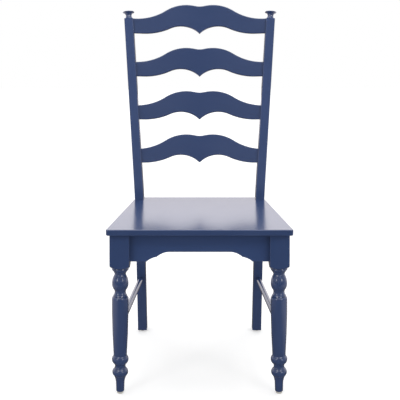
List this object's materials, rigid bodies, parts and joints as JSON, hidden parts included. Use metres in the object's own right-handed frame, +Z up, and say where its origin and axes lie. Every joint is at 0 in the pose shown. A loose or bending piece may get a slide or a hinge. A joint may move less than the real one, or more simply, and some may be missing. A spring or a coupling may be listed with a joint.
{
  "type": "ladderback dining chair",
  "caption": "Wooden ladderback side chair with scalloped bowed back slats, turned front legs, raked rear posts, turned finials, shaped apron and thin side stretchers.",
  "frame": {"origin": "on the floor, in the middle of the chair's overall width and depth", "axes": "+Z up, -Y towards the front of the seat, +X to the right seen from the front"},
  "size_m": [0.4774, 0.5402, 1.0399],
  "materials": {
    "enamel": "semi-gloss dark blue enamel sprayed over hardwood",
    "bare_wood": "planed, unfinished",
    "glide_plastic": "moulded, satin",
    "steel": "bright zinc"
  },
  "bodies": {
    "root": {"seat_board": "enamel", "front_leg_left": "enamel", "front_leg_right": "enamel", "rear_post_left": "enamel", "rear_post_right": "enamel", "finial_left": "enamel", "finial_right": "enamel", "back_slat_1": "enamel", "back_slat_2": "enamel", "back_slat_3": "enamel", "back_slat_4": "enamel", "front_apron": "enamel", "rear_apron": "enamel", "side_apron_left": "enamel", "side_apron_right": "enamel", "side_stretcher_left": "enamel", "side_stretcher_right": "enamel", "corner_block_front_left": "bare_wood", "corner_block_front_right": "bare_wood", "corner_block_rear_left": "bare_wood", "corner_block_rear_right": "bare_wood", "foot_glide_front_left": "glide_plastic", "foot_glide_front_right": "glide_plastic", "foot_glide_rear_left": "glide_plastic", "foot_glide_rear_right": "glide_plastic", "seat_screws": "steel", "leg_screws": "steel", "glide_nails": "steel"}
  },
  "joints": []
}
